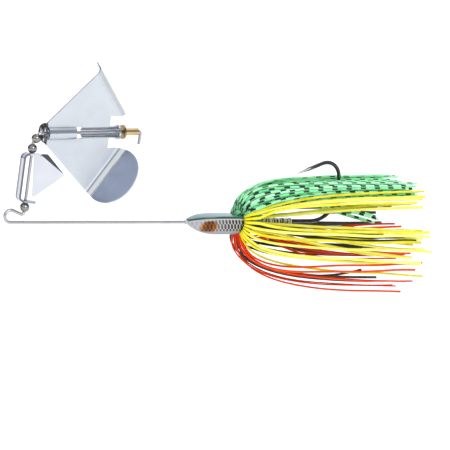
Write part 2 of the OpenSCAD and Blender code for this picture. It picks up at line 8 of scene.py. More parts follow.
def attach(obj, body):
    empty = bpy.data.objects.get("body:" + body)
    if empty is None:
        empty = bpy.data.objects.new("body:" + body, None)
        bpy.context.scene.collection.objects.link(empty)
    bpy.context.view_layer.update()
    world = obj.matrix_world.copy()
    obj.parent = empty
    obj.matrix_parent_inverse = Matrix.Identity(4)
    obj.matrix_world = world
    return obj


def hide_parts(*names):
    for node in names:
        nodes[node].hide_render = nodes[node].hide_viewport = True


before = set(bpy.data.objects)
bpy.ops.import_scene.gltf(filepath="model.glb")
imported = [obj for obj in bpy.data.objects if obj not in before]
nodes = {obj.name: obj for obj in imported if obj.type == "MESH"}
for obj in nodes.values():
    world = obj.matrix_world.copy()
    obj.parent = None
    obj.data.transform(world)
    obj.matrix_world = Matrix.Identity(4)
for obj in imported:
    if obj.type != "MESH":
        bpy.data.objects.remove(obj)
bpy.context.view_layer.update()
scene = bpy.context.scene
MM = 0.001

# Places repeated from the part's source, in millimetres
NOSE_X, HEAD_BACK, HEAD_L = 61.8, 80.0, 18.2
ARM_Z, SHANK_Z = -1.9, -1.6
ROOT_R, COLLAR_R, COLLAR_L = 3.35, 3.0, 7.5
BAND_X, BAND_W, BAND_R, BAND_T = 81.275, 2.2, 3.7, 0.75
CURL_X, CURL_R, TAIL_X = 81.225, 0.75, 83.575

# Sockets of a mix node for each kind of data: its two inputs and its output
MIX_SOCKETS = {"RGBA": (6, 7, 2), "VECTOR": (4, 5, 1)}
# Least cosine at which a face counts as lying in a plane
IN_PLANE = 0.9985
# Samples of the bevel that finds sharp edges, and the cosines over which an edge fades in
EDGE_SAMPLES, EDGE_NONE, EDGE_FULL = 6, 0.98, 0.80


class Nodes:
    """Short names for the nodes of one tree."""

    def __init__(self, tree):
        self.tree = tree
        tree.nodes.clear()

    def new(self, kind, **settings):
        n = self.tree.nodes.new(kind)
        for k, v in settings.items():
            setattr(n, k, v)
        return n

    def put(self, value, socket):
        if isinstance(value, bpy.types.NodeSocket):
            self.tree.links.new(value, socket)
        elif isinstance(value, tuple) and len(value) == 3 and socket.type == "RGBA":
            socket.default_value = (*value, 1)
        else:
            socket.default_value = value

    def object_coord(self):
        return self.new("ShaderNodeTexCoord").outputs["Object"]

    def uv(self):
        return self.new("ShaderNodeTexCoord").outputs["UV"]

    def attribute(self, name):
        return self.new("ShaderNodeAttribute", attribute_name=name).outputs["Fac"]

    def split(self, vector):
        n = self.new("ShaderNodeSeparateXYZ")
        self.put(vector, n.inputs[0])
        return n.outputs

    def stretch(self, vector, scale):
        n = self.new("ShaderNodeMapping")
        self.put(vector, n.inputs["Vector"])
        n.inputs["Scale"].default_value = scale
        return n.outputs[0]

    def noise(self, vector, scale, detail=2.0, rough=0.5):
        n = self.new("ShaderNodeTexNoise")
        self.put(vector, n.inputs["Vector"])
        n.inputs["Scale"].default_value = scale
        n.inputs["Detail"].default_value = detail
        n.inputs["Roughness"].default_value = rough
        return n.outputs["Fac"]

    def math(self, op, a, b=0.0, c=0.0, clamp=False):
        n = self.new("ShaderNodeMath", operation=op, use_clamp=clamp)
        for v, s in zip((a, b, c), n.inputs):
            self.put(v, s)
        return n.outputs[0]

    def dot(self, a, b):
        n = self.new("ShaderNodeVectorMath", operation="DOT_PRODUCT")
        self.put(a, n.inputs[0])
        self.put(b, n.inputs[1])
        return n.outputs["Value"]

    def smooth(self, value, low, high):
        """0 at low and 1 at high, whichever of them is the greater."""
        n = self.new("ShaderNodeMapRange", interpolation_type="SMOOTHSTEP")
        self.put(value, n.inputs["Value"])
        n.inputs["From Min"].default_value = low
        n.inputs["From Max"].default_value = high
        return n.outputs["Result"]

    def between(self, value, low, low_full, high_full, high):
        """1 from low_full to high_full, falling to 0 at low and at high."""
        return self.math("MULTIPLY", self.smooth(value, low, low_full),
                         self.smooth(value, high, high_full))

    def span(self, value, low, high):
        """A value of 0 to 1 spread from low to high."""
        return self.math("MULTIPLY_ADD", value, high - low, low)

    def blend(self, a, share_a, b, share_b):
        return self.math("MULTIPLY_ADD", a, share_a, self.math("MULTIPLY", b, share_b))

    def ramp(self, fac, stops):
        n = self.new("ShaderNodeValToRGB")
        self.put(fac, n.inputs[0])
        while len(n.color_ramp.elements) < len(stops):
            n.color_ramp.elements.new(0.5)
        for e, (p, c) in zip(n.color_ramp.elements, stops):
            e.position = p
            e.color = (*c, 1)
        return n.outputs[0]

    def mix(self, fac, a, b, kind="RGBA"):
        n = self.new("ShaderNodeMix", data_type=kind)
        in_a, in_b, out = MIX_SOCKETS[kind]
        self.put(fac, n.inputs[0])
        self.put(a, n.inputs[in_a])
        self.put(b, n.inputs[in_b])
        return n.outputs[out]

    def wash(self, tint, colour, mask, share):
        """The tint, with a share of the colour laid over it where the mask is 1."""
        return self.mix(self.math("MULTIPLY", mask, share), tint, colour)


class Shader(Nodes):
    """A principled material and the nodes that feed it."""

    def __init__(self, name):
        self.material = bpy.data.materials.new(name)
        self.material.use_nodes = True
        super().__init__(self.material.node_tree)
        self.bsdf = self.new("ShaderNodeBsdfPrincipled")
        self.put(self.bsdf.outputs[0], self.new("ShaderNodeOutputMaterial").inputs[0])

    def set(self, name, value):
        self.put(value, self.bsdf.inputs[name])

    def bump(self, height, distance, strength, normal=None):
        n = self.new("ShaderNodeBump")
        self.put(height, n.inputs["Height"])
        n.inputs["Distance"].default_value = distance
        n.inputs["Strength"].default_value = strength
        if normal:
            self.put(normal, n.inputs["Normal"])
        self.put(n.outputs[0], self.bsdf.inputs["Normal"])

    def facing(self, planes):
        """1 where the surface is flat and faces one of the planes, else 0."""
        turn = self.new("ShaderNodeVectorTransform", vector_type="NORMAL", convert_from="WORLD",
                        convert_to="OBJECT")
        self.put(self.new("ShaderNodeNewGeometry").outputs["True Normal"], turn.inputs[0])
        flat = 0.0
        for plane in planes:
            faces = self.math("ABSOLUTE", self.dot(turn.outputs[0], plane))
            flat = self.math("MAXIMUM", flat, self.math("GREATER_THAN", faces, IN_PLANE))
        return flat

    def flat_normal(self, flat):
        """The true normal where the surface is flat, else the shading one."""
        geo = self.new("ShaderNodeNewGeometry").outputs
        return self.mix(flat, geo["Normal"], geo["True Normal"], "VECTOR")

    def edges(self, radius):
        """1 at a sharp edge, falling to 0 at about the radius from it."""
        bevel = self.new("ShaderNodeBevel", samples=EDGE_SAMPLES)
        bevel.inputs["Radius"].default_value = radius
        normal = self.new("ShaderNodeNewGeometry").outputs["Normal"]
        return self.smooth(self.dot(bevel.outputs[0], normal), EDGE_NONE, EDGE_FULL)


class Shape:
    """Points in millimetres, faces between them, and one UV and some values to each point."""

    def __init__(self, *keys):
        self.verts, self.faces, self.uvs = [], [], []
        self.values = {key: [] for key in keys}

    def stitch(self, first, rows, n, capped=False):
        """Joins rings of n points from a first point on, and closes the ends if they are capped."""
        for j in range(rows):
            for i in range(n):
                a, b = first + j * n + i, first + j * n + (i + 1) % n
                self.faces.append((a, b, b + n, a + n))
        if capped:
            self.faces.append(tuple(first + i for i in range(n))[::-1])
            self.faces.append(tuple(first + rows * n + i for i in range(n)))

    def lathe(self, profile, x0, z, count, uv):
        """Adds rings about a line along X, from [x, r] points that count from x0."""
        first = len(self.verts)
        for x, r in profile:
            for i in range(count):
                a = 2 * math.pi * i / count
                self.verts.append((x0 + x, r * math.cos(a), z + r * math.sin(a)))
                self.uvs.append(uv)
        self.stitch(first, len(profile) - 1, count)

    def piece(self, name, shader):
        me = bpy.data.meshes.new(name)
        me.from_pydata([(x * MM, y * MM, z * MM) for x, y, z in self.verts], [], self.faces)
        layer = me.uv_layers.new(name="UVMap")
        for loop in me.loops:
            layer.data[loop.index].uv = self.uvs[loop.vertex_index]
        for key, row in self.values.items():
            a = me.attributes.new(key, "FLOAT", "POINT")
            a.data.foreach_set("value", row)
        me.materials.append(shader.material)
        me.polygons.foreach_set("use_smooth", [True] * len(me.polygons))
        me.validate()
        ob = bpy.data.objects.new(name, me)
        scene.collection.objects.link(ob)
        return ob


# Camera at the photograph's viewing angle: turned, raised and rolled about the view
VIEW_TURN, VIEW_RISE, VIEW_ROLL = math.radians(-30), math.radians(8), math.radians(4.45)
VIEW_DISTANCE, VIEW_LENS = 950.0, 249.18
SENSOR_W, CLIP_END = 36, 50
# Scale of the picture, its middle, and the line tie's place in it
MM_PER_PX = 0.305
FRAME_MID = 225.0
LINE_TIE_PX = (10.5, 216.25)


def make_camera():
    ca, sa = math.cos(VIEW_TURN), math.sin(VIEW_TURN)
    ce, se = math.cos(VIEW_RISE), math.sin(VIEW_RISE)
    level = Vector((ca, sa, 0))
    lift = Vector((-sa * se, ca * se, ce))
    ahead = Vector((-sa * ce, ca * ce, -se))
    c, s = math.cos(VIEW_ROLL), math.sin(VIEW_ROLL)
    right = c * level + s * lift
    up = c * lift - s * level
    place = -(
        right * (LINE_TIE_PX[0] - FRAME_MID) * MM_PER_PX
        + up * (FRAME_MID - LINE_TIE_PX[1]) * MM_PER_PX
        + ahead * VIEW_DISTANCE
    )
    data = bpy.data.cameras.new("camera")
    data.sensor_fit = "HORIZONTAL"
    data.sensor_width = SENSOR_W
    data.lens = VIEW_LENS
    data.clip_end = CLIP_END
    cam = bpy.data.objects.new("camera", data)
    scene.collection.objects.link(cam)
    cam.matrix_world = Matrix((
        (right.x, up.x, -ahead.x, place.x * MM),
        (right.y, up.y, -ahead.y, place.y * MM),
        (right.z, up.z, -ahead.z, place.z * MM),
        (0, 0, 0, 1),
    ))
    scene.camera = cam


# Studio: a wide pale floor, lamps for the diffuse light, and a sky of soft boxes for reflections
FLOOR_Z, FLOOR_HALF = -0.09, 9.0
PAPER = [(0, (0.90, 0.90, 0.90)), (1, (0.94, 0.94, 0.94))]
PAPER_GRAIN, PAPER_ROUGH = 180, 0.9
BACKDROP = (0.98, 0.98, 0.98)
SKY = [
    (0.0, (0.12, 0.13, 0.155)),
    (0.10, (0.07, 0.075, 0.095)),
    (0.40, (0.12, 0.14, 0.18)),
    (0.62, (0.36, 0.41, 0.53)),
    (0.78, (0.66, 0.70, 0.76)),
    (1.0, (0.50, 0.52, 0.55)),
]
# Soft boxes: direction, cosines at which each fades out and is full, heights between which it lies,
# and its light
SOFT_BOXES = [
    ((-0.22, -0.96, 0.15), 0.93, 0.98, (-0.10, -0.05, 0.40, 0.50), (0.46, 0.51, 0.60)),
    ((-0.62, -0.68, 0.40), 0.56, 0.66, (0.14, 0.26, 0.70, 0.76), (1.3, 1.3, 1.31)),
    ((0.47, -0.83, 0.30), 0.84, 0.95, (0.0, 0.05, 0.45, 0.60), (0.42, 0.46, 0.54)),
    ((0.50, 0.86, 0.2), 0.62, 0.80, (0.02, 0.05, 0.80, 0.90), (0.88, 0.85, 1.06)),
    ((1.0, -0.15, 0.05), 0.55, 0.75, (-0.2, -0.1, 0.18, 0.24), (1.2, 1.2, 1.23)),
    ((0.86, -0.30, 0.48), 0.90, 0.95, (0.20, 0.25, 2.0, 3.0), (0.14, 0.15, 0.17)),
    ((0.25, 0.10, 0.96), 0.93, 0.96, (0.0, 0.1, 2.0, 3.0), (1.9, 1.9, 1.9)),
]
# Lamps: name, place, power, spread, and whether it is seen in gloss alone
LAMPS = [
    ("top_light", (0.35, 0.45, 1.0), 1.55, 70, False),
    ("front_light", (0.55, -1.0, 0.55), 1.3, 50, False),
    ("side_light", (-1.0, -0.6, 0.35), 0.45, 40, False),
    ("back_light", (-0.3, 1.0, 0.5), 0.4, 50, False),
    ("spark_light", (0.05, -0.90, 0.43), 1.0, 28, True),
]


def make_sky():
    scene.view_settings.view_transform = "Standard"
    world = bpy.data.worlds.new("studio")
    scene.world = world
    world.use_nodes = True
    w = Nodes(world.node_tree)
    way = w.new("ShaderNodeTexCoord").outputs["Generated"]
    height = w.split(way)[2]
    sky = w.ramp(height, SKY)
    for aim, out, full, heights, light in SOFT_BOXES:
        near = w.smooth(w.dot(way, Vector(aim).normalized()), out, full)
        sky = w.mix(w.math("MULTIPLY", near, w.between(height, *heights)), sky, light)
    plain = w.new("ShaderNodeLightPath").outputs["Is Camera Ray"]
    bg = w.new("ShaderNodeBackground")
    w.put(w.mix(plain, sky, BACKDROP), bg.inputs["Color"])
    w.put(bg.outputs[0], w.new("ShaderNodeOutputWorld").inputs[0])


def make_lamps():
    for name, place, power, spread, gloss in LAMPS:
        data = bpy.data.lights.new(name, "SUN")
        data.energy = power
        data.angle = math.radians(spread)
        lamp = bpy.data.objects.new(name, data)
        scene.collection.objects.link(lamp)
        lamp.location = place
        lamp.rotation_euler = (-Vector(place)).to_track_quat("-Z", "Y").to_euler()
        lamp.visible_glossy = gloss
        lamp.visible_diffuse = not gloss


def make_floor():
    half = FLOOR_HALF
    me = bpy.data.meshes.new("floor")
    me.from_pydata([(-half, -half, FLOOR_Z), (half, -half, FLOOR_Z), (half, half, FLOOR_Z),
                    (-half, half, FLOOR_Z)], [], [(0, 1, 2, 3)])
    floor = bpy.data.objects.new("floor", me)
    scene.collection.objects.link(floor)
    m = Shader("floor_paper")
    m.set("Base Color", m.ramp(m.noise(m.object_coord(), PAPER_GRAIN, 3), PAPER))
    m.set("Roughness", PAPER_ROUGH)
    me.materials.append(m.material)


# Metals: darker and lighter tint, and roughness where the grain is low and high
METALS = {
    "drawn_wire": ((0.37, 0.36, 0.355), (0.45, 0.44, 0.43), (0.10, 0.24)),
    "bead_nickel": ((0.24, 0.225, 0.207), (0.29, 0.275, 0.255), (0.02, 0.06)),
    "blade_sheet": ((0.495, 0.525, 0.552), (0.535, 0.565, 0.592), (0.08, 0.20)),
    "clacker_sheet": ((0.56, 0.575, 0.60), (0.61, 0.625, 0.65), (0.08, 0.20)),
    "rivet_brass": ((0.50, 0.36, 0.16), (0.60, 0.45, 0.22), (0.05, 0.12)),
    "hook_black_nickel": ((0.022, 0.022, 0.024), (0.045, 0.045, 0.048), (0.06, 0.16)),
}
# Fine and broad grain: scale, and share of the mixed grain
FINE_GRAIN, FINE_ROUGH, FINE_SHARE = 4000, 0.6, 0.4
BROAD_GRAIN, BROAD_SHARE = 220, 0.6
# Mixed grain at which the tint is darker and lighter
GRAIN_DARK, GRAIN_LIGHT = 0.35, 0.65
GRAIN_BUMP, GRAIN_STRENGTH = 0.000002, 0.25


def metal(name, stretch=(1, 1, 1), planes=()):
    """A metal with fine grain and faint clouding, shaded flat where it faces one of the planes."""
    dark, light, rough = METALS[name]
    m = Shader(name)
    co = m.object_coord()
    fine = m.noise(m.stretch(co, stretch), FINE_GRAIN, 3, FINE_ROUGH)
    broad = m.noise(co, BROAD_GRAIN, 2)
    m.grain = m.blend(fine, FINE_SHARE, broad, BROAD_SHARE)
    m.tint = m.ramp(m.grain, [(GRAIN_DARK, dark), (GRAIN_LIGHT, light)])
    m.rough = m.span(fine, *rough)
    m.set("Base Color", m.tint)
    m.set("Metallic", 1.0)
    m.set("Roughness", m.rough)
    normal = m.flat_normal(m.facing(planes)) if planes else None
    m.bump(fine, GRAIN_BUMP, GRAIN_STRENGTH, normal)
    return m


def dress(node, shader):
    me = nodes[node].data
    me.materials.clear()
    me.materials.append(shader.material)


# How far the wire looks like bare metal, since it is drawn and a little dull
WIRE_METALLIC = 0.75


def dress_wire_and_beads():
    wire = metal("drawn_wire")
    wire.set("Metallic", WIRE_METALLIC)
    dress("wire_form", wire)
    bead = metal("bead_nickel")
    for n in ("corner_bead", "upper_bead", "lower_bead"):
        dress(n, bead)


# Shaft: its point at the blade's front and its slope. Along it, the end of the blade's front tab
# and the back of the rivet's flange, and half the length over which a tint changes, in millimetres
SHAFT_AT, SHAFT_RISE = (9.992, 25.624), math.radians(1.7)
TAB_S, FLANGE_S, STATION_FADE = 0.55, 26.85, 0.1


def before_station(m, station):
    """1 before a station along the blade's shaft, and 0 after it."""
    x, _, z = m.split(m.object_coord())
    c, s = math.cos(SHAFT_RISE), math.sin(SHAFT_RISE)
    back = -(SHAFT_AT[0] * c + SHAFT_AT[1] * s)
    along = m.math("MULTIPLY_ADD", x, c / MM, m.math("MULTIPLY_ADD", z, s / MM, back))
    return m.smooth(along, station + STATION_FADE, station - STATION_FADE)


# Turn of the blade at rest, direction of its folds and angle through which they turn
BLADE_TURN, FOLD_ANGLE, FOLD_TURN = math.radians(8), math.radians(35.3), math.radians(75)
# Brushing along the sheet, roughness added on its flats, and metal's part of the light on the wings
BLADE_BRUSH, FLAT_ROUGH, WING_METALLIC = (0.3, 1, 1), 0.26, 0.38
# Painted reflection on the lobes: a blue-grey tint in place of the dim blue-grey sky that they
# reflect
LOBE_PAINTED_REFLECTION = [(GRAIN_DARK, (0.37, 0.42, 0.535)), (GRAIN_LIGHT, (0.45, 0.505, 0.635))]
# Painted reflection on the front tab: dark and pale streaks that stand in for the mirror image it
# shows
STREAK_WAY, STREAK_GRAIN = (1, 1, 0.4), 1300
TAB_PAINTED_REFLECTION = [(0.47, (0.02, 0.02, 0.022)), (0.56, (0.15, 0.155, 0.17)), (0.64, (0.60, 0.62, 0.65))]
# Painted dark reflection along the sheet's edges: width in metres, tint and share
BLADE_EDGE, BLADE_EDGE_PAINTED_REFLECTION, BLADE_EDGE_SHARE = 0.00012, (0.30, 0.30, 0.32), 0.35


def blade_planes():
    """Directions that the wings and each of the two lobes face at rest."""
    rest = Matrix.Rotation(-SHAFT_RISE, 3, "Y") @ Matrix.Rotation(BLADE_TURN, 3, "X")
    lobe = Vector((-math.cos(FOLD_ANGLE) * math.sin(FOLD_TURN), -math.cos(FOLD_TURN),
                   math.sin(FOLD_ANGLE) * math.sin(FOLD_TURN)))
    other = Vector((lobe.x, -lobe.y, -lobe.z))
    return [rest @ Vector((0, -1, 0)), rest @ lobe, rest @ other]


def dress_blade():
    planes = blade_planes()
    m = metal("blade_sheet", BLADE_BRUSH, planes)
    m.set("Roughness", m.math("MULTIPLY_ADD", m.facing(planes), FLAT_ROUGH, m.rough))
    m.set("Metallic", m.span(m.facing(planes[:1]), 1.0, WING_METALLIC))
    tab_reflection_streaks = m.noise(m.stretch(m.object_coord(), STREAK_WAY), STREAK_GRAIN, 1)
    # Painted reflection: the lobes take a blue-grey tint in place of the sky that they reflect
    tint = m.mix(m.facing(planes[1:]), m.tint, m.ramp(m.grain, LOBE_PAINTED_REFLECTION))
    # Painted reflection: the front tab is darkened with streaks in place of the dark surroundings
    # it mirrors
    tint = m.mix(before_station(m, TAB_S), tint, m.ramp(tab_reflection_streaks, TAB_PAINTED_REFLECTION))
    # Painted reflection: a darker line along the edges, in place of the dark surroundings that the
    # edges mirror
    m.set("Base Color", m.wash(tint, BLADE_EDGE_PAINTED_REFLECTION, m.edges(BLADE_EDGE), BLADE_EDGE_SHARE))
    dress("blade", m)


# Clacker, in metres: the riser's foot and lean, how far ahead of the riser the strap begins, and
# where the painted shade on its far and near strips and on the foot of the clacker fades in
RISER_X, RISER_LEAN = 0.0044, 0.0682
STRAP_AHEAD = (-0.0008, -0.0016)
FAR_STRIP, NEAR_STRIP = (0.0006, 0.0010), (-0.0012, -0.0014)
FOOT = (0.0060, 0.0056)
CLACKER_BRUSH, CLACKER_EDGE = (1, 1, 0.3), 0.00025
# Painted shade and painted dark reflections laid over its tint, one after the other, on the strap,
# its edges, its near and far strips and its foot: tint and share
CLACKER_PAINTED_SHADE = {
    "strap": ((0.42, 0.43, 0.46), 0.6),
    "edges": ((0.06, 0.065, 0.08), 0.45),
    "near": ((0.10, 0.11, 0.14), 0.9),
    "foot": ((0.13, 0.14, 0.18), 0.6),
    "far": ((0.08, 0.08, 0.10), 0.9),
}


def dress_clacker():
    m = metal("clacker_sheet", CLACKER_BRUSH)
    x, y, z = m.split(m.object_coord())
    ahead = m.math("SUBTRACT", x, m.math("MULTIPLY_ADD", z, RISER_LEAN, RISER_X))
    strap = m.smooth(ahead, *STRAP_AHEAD)
    masks = {
        "strap": strap,
        "edges": m.edges(CLACKER_EDGE),
        "near": m.math("MULTIPLY", strap, m.smooth(y, *NEAR_STRIP)),
        "foot": m.smooth(z, *FOOT),
        "far": m.math("MULTIPLY", strap, m.smooth(y, *FAR_STRIP)),
    }
    # Painted shade: the bent strap, its edges, its side strips and the foot darkened in place of
    # their shade and dark reflections
    tint = m.tint
    for key, (shade, share) in CLACKER_PAINTED_SHADE.items():
        tint = m.wash(tint, shade, masks[key], share)
    m.set("Base Color", tint)
    dress("clacker", m)


# Rivet: tint of its flange, which is darker than the tube
FLANGE_TINT = (0.27, 0.18, 0.08)
# Hook: its lacquer, and the pale ground point with the places in metres where it fades in
LACQUER, LACQUER_ROUGH = 1.0, 0.05
GROUND_TINT, GROUND_X, GROUND_Z = (0.34, 0.31, 0.31), (0.108, 0.101), (0.008, 0.010)


def dress_rivet_and_hook():
    m = metal("rivet_brass")
    m.set("Base Color", m.mix(before_station(m, FLANGE_S), m.tint, FLANGE_TINT))
    dress("rivet", m)
    m = metal("hook_black_nickel")
    m.set("Coat Weight", LACQUER)
    m.set("Coat Roughness", LACQUER_ROUGH)
    x, _, z = m.split(m.object_coord())
    ground = m.math("MULTIPLY", m.smooth(x, *GROUND_X), m.smooth(z, *GROUND_Z))
    m.set("Base Color", m.mix(ground, m.tint, GROUND_TINT))
    dress("hook", m)


# Trailer keeper: pale clear sleeve, its ribs drawn as bands of painted shade and painted highlight
RIB_WAY, RIB_GRAIN, SLEEVE_CLOUD = (1, 0.12, 0.12), 1500, 700
RIBS_PAINTED_SHADE_AND_HIGHLIGHT = [(0.40, (0.10, 0.10, 0.05)), (0.48, (0.62, 0.62, 0.45)), (0.60, (0.96, 0.96, 0.86))]
SLEEVE_ROUGH, SLEEVE_CLEAR, SLEEVE_IOR = (0.08, 0.25), 0.35, 1.42
SLEEVE_BUMP, SLEEVE_STRENGTH = 0.00002, 0.4


def dress_keeper():
    m = Shader("keeper_sleeve")
    co = m.object_coord()
    cloud = m.noise(co, SLEEVE_CLOUD, 3)
    # Painted shade and painted highlight: dark and white bands in place of the light on the ribs
    m.set("Base Color", m.ramp(m.noise(m.stretch(co, RIB_WAY), RIB_GRAIN, 1), RIBS_PAINTED_SHADE_AND_HIGHLIGHT))
    m.set("Roughness", m.span(cloud, *SLEEVE_ROUGH))
    m.set("Transmission Weight", SLEEVE_CLEAR)
    m.set("IOR", SLEEVE_IOR)
    m.bump(cloud, SLEEVE_BUMP, SLEEVE_STRENGTH)
    dress("trailer_keeper", m)


# Head: the source's cross-sections with a flatter deck, rounded shoulders and a blunt nose that
# lies high on the wire, in millimetres
HEAD_W, DECK_UP, SHOULDER_DROP, BELLY_DOWN = 8.4, 2.5, 0.5, 4.0
# Nose: radius, drop of its shoulder and depth of its belly
NOSE_R, NOSE_DROP, NOSE_LOW = 0.95, 0.25, 0.65
# Share of the length over which the head swells and the power that makes it blunt, where the back
# begins to draw in and by what share, and the power that flattens the deck
SWELL, BLUNT, DRAW_FROM, DRAW_SHARE, DECK_FLAT = 0.65, 2.7, 0.8, 0.08, 0.3
# Rings along the head, the power that crowds them at the nose, and points over the deck and below
HEAD_RINGS, RING_CROWD, DECK_POINTS, SIDE_POINTS = 70, 1.4, 26, 54
# Millimetres to one unit of UV
HEAD_UV = 20.0
# Sleeve at the nose and collar at the back, as [x, r] from there, points round each, and its place
# in the paint
NOSE_SLEEVE = [(-0.9, 0.53), (-0.85, 0.62), (-0.35, 0.63), (-0.28, 0.57), (-0.12, 0.57),
               (-0.05, 0.62), (0.3, 0.62)]
COLLAR = [(-0.9, 1.6), (-0.35, COLLAR_R - 0.25), (0, COLLAR_R), (COLLAR_L - 0.3, COLLAR_R),
          (COLLAR_L, COLLAR_R - 0.3), (COLLAR_L, 0.64)]
NOSE_POINTS, NOSE_UV = 32, (-0.02, 0.1)
COLLAR_POINTS, COLLAR_UV = 48, (0.9, -0.04)


def head_ring(t):
    """Points round one cross-section and their distance from the shoulder, in millimetres."""
    swell = 1 - (1 - min(t / SWELL, 1)) ** BLUNT
    draw = 1 - DRAW_SHARE * max(0, (t - DRAW_FROM) / (1 - DRAW_FROM)) ** 2
    half = (NOSE_R + (HEAD_W / 2 - NOSE_R) * swell) * draw
    ridge = ARM_Z + (NOSE_R + (DECK_UP - NOSE_R) * swell) * draw
    shoulder = ridge - SHOULDER_DROP * swell - NOSE_DROP * (1 - swell)
    belly = ARM_Z - (NOSE_LOW + (BELLY_DOWN - NOSE_LOW) * swell) * draw
    ring = []
    for i in range(DECK_POINTS):
        a = math.pi * i / DECK_POINTS
        rise = math.sin(a) ** DECK_FLAT
        ring.append((-half * math.cos(a), shoulder + (ridge - shoulder) * rise))
    for i in range(SIDE_POINTS):
        a = math.pi * i / SIDE_POINTS
        ring.append((half * math.cos(a), shoulder - (shoulder - belly) * math.sin(a)))
    n = len(ring)
    down = [0.0] * n
    for first, last, sign in ((0, DECK_POINTS, -1), (DECK_POINTS, n, 1)):
        run = [ring[i % n] for i in range(first, last + 1)]
        far = [0.0]
        for p, q in zip(run, run[1:]):
            far.append(far[-1] + math.dist(p, q))
        for k in range(len(run) - 1):
            down[first + k] = sign * min(far[k], far[-1] - far[k])
    return ring, down


def rounded(ring):
    """One smoothing pass, which takes the edge off the shoulders."""
    n = len(ring)
    return [tuple((ring[i - 1][k] + 2 * ring[i][k] + ring[(i + 1) % n][k]) / 4 for k in (0, 1))
            for i in range(n)]


# Scales: pitch along the head, row spacing, shift and slant of the rows, half sizes of the ovals
# and the measure over which their edge fades
SCALE_PITCH, SCALE_ROW, SCALE_SHIFT, SCALE_SLANT = 1.2, 1.75, 0.49, 0.35
SCALE_OVAL, SCALE_EDGE = (0.43, 1.12), (1.15, 0.80)
# Distances along the head and below the shoulder over which the scales come and go, their darkness
# at the nose and at the back, and their depth
SCALES_ALONG, SCALES_DOWN, SCALES_DARK = (1.5, 15.0), (0.45, 0.9, 4.2, 5.9), (0.25, 0.97)
SCALE_BUMP, SCALE_STRENGTH = 0.00006, 0.5
SCALE_INK = (0.030, 0.026, 0.023)
NET_FRONT, NET_REAR = (0.45, 0.45, 0.47), (0.46, 0.45, 0.43)
NET_CLOUD, NET_CLOUD_SHARE = (0.34, 0.34, 0.35), 0.3
# Gill patch: middle along the head and below the shoulder, half length, half height and the power
# that squares each, waver of its outline, and the measures over which it and its core fade
GILL, GILL_SQUARE, GILL_WAVER = (6.3, 3.2, 2.6, 2.3), (2.5, 4.0), (-0.25, 0.25)
GILL_EDGE, GILL_CORE = (1.4, 0.45), (0.75, 0.35)
GILL_RIM_TINT, GILL_CORE_TINT = (0.46, 0.15, 0.004), (0.17, 0.047, 0.002)
GILL_SCALE_TINT, GILL_SCALE_SHARE, GILL_COVER = (0.045, 0.014, 0.002), 0.65, (0.93, 0.99)
# Belly, back and the darker line at the shoulder: tints and distances from the shoulder
BELLY_TINT, BELLY_FROM = (0.27, 0.27, 0.275), (4.3, 6.0)
BACK_TINTS = [(0.3, (0.012, 0.09, 0.055)), (0.7, (0.03, 0.22, 0.12))]
BACK_LINE, BACK_LINE_FROM, BACK_FROM = (0.010, 0.045, 0.035), (-0.5, -0.1), (0.42, 0.18)
# Clouding of the paint, and its gloss, which is high on the back
PAINT_CLOUD, PAINT_METALLIC, PAINT_ROUGH, PAINT_SHINE = 420, 0.1, (0.25, 0.4), 0.08
PAINT_COAT, PAINT_COAT_ROUGH = (0.03, 1.0), 0.04


def scale_cells(m, along, down):
    """1 inside a scale: tall ovals in staggered columns."""
    half_u, half_v = SCALE_PITCH / 2, SCALE_ROW
    a = m.math("PINGPONG", m.math("MULTIPLY_ADD", down, -SCALE_SLANT, along), half_u)
    b = m.math("PINGPONG", m.math("ADD", down, SCALE_SHIFT), half_v)
    other = m.math("GREATER_THAN", m.blend(a, half_u, b, half_v), (half_u ** 2 + half_v ** 2) / 2)
    parts = []
    for v, half, size in ((a, half_u, SCALE_OVAL[0]), (b, half_v, SCALE_OVAL[1])):
        v = m.math("ABSOLUTE", m.math("SUBTRACT", m.math("MULTIPLY", other, half), v))
        parts.append(m.math("POWER", m.math("DIVIDE", v, size), 2.0))
    return m.smooth(m.math("ADD", *parts), *SCALE_EDGE)


def gill_patch(m, along, down, wob):
    """1 inside the gill patch, and 1 at its core."""
    gu, gv = [m.math("ABSOLUTE", m.math("DIVIDE", m.math("SUBTRACT", v, mid), half))
              for v, mid, half in zip((along, down), GILL[:2], GILL[2:])]
    spot = m.math("ADD", *[m.math("POWER", g, p) for g, p in zip((gu, gv), GILL_SQUARE)])
    patch = m.smooth(m.math("ADD", spot, m.span(wob, *GILL_WAVER)), *GILL_EDGE)
    return patch, m.smooth(gu, *GILL_CORE)


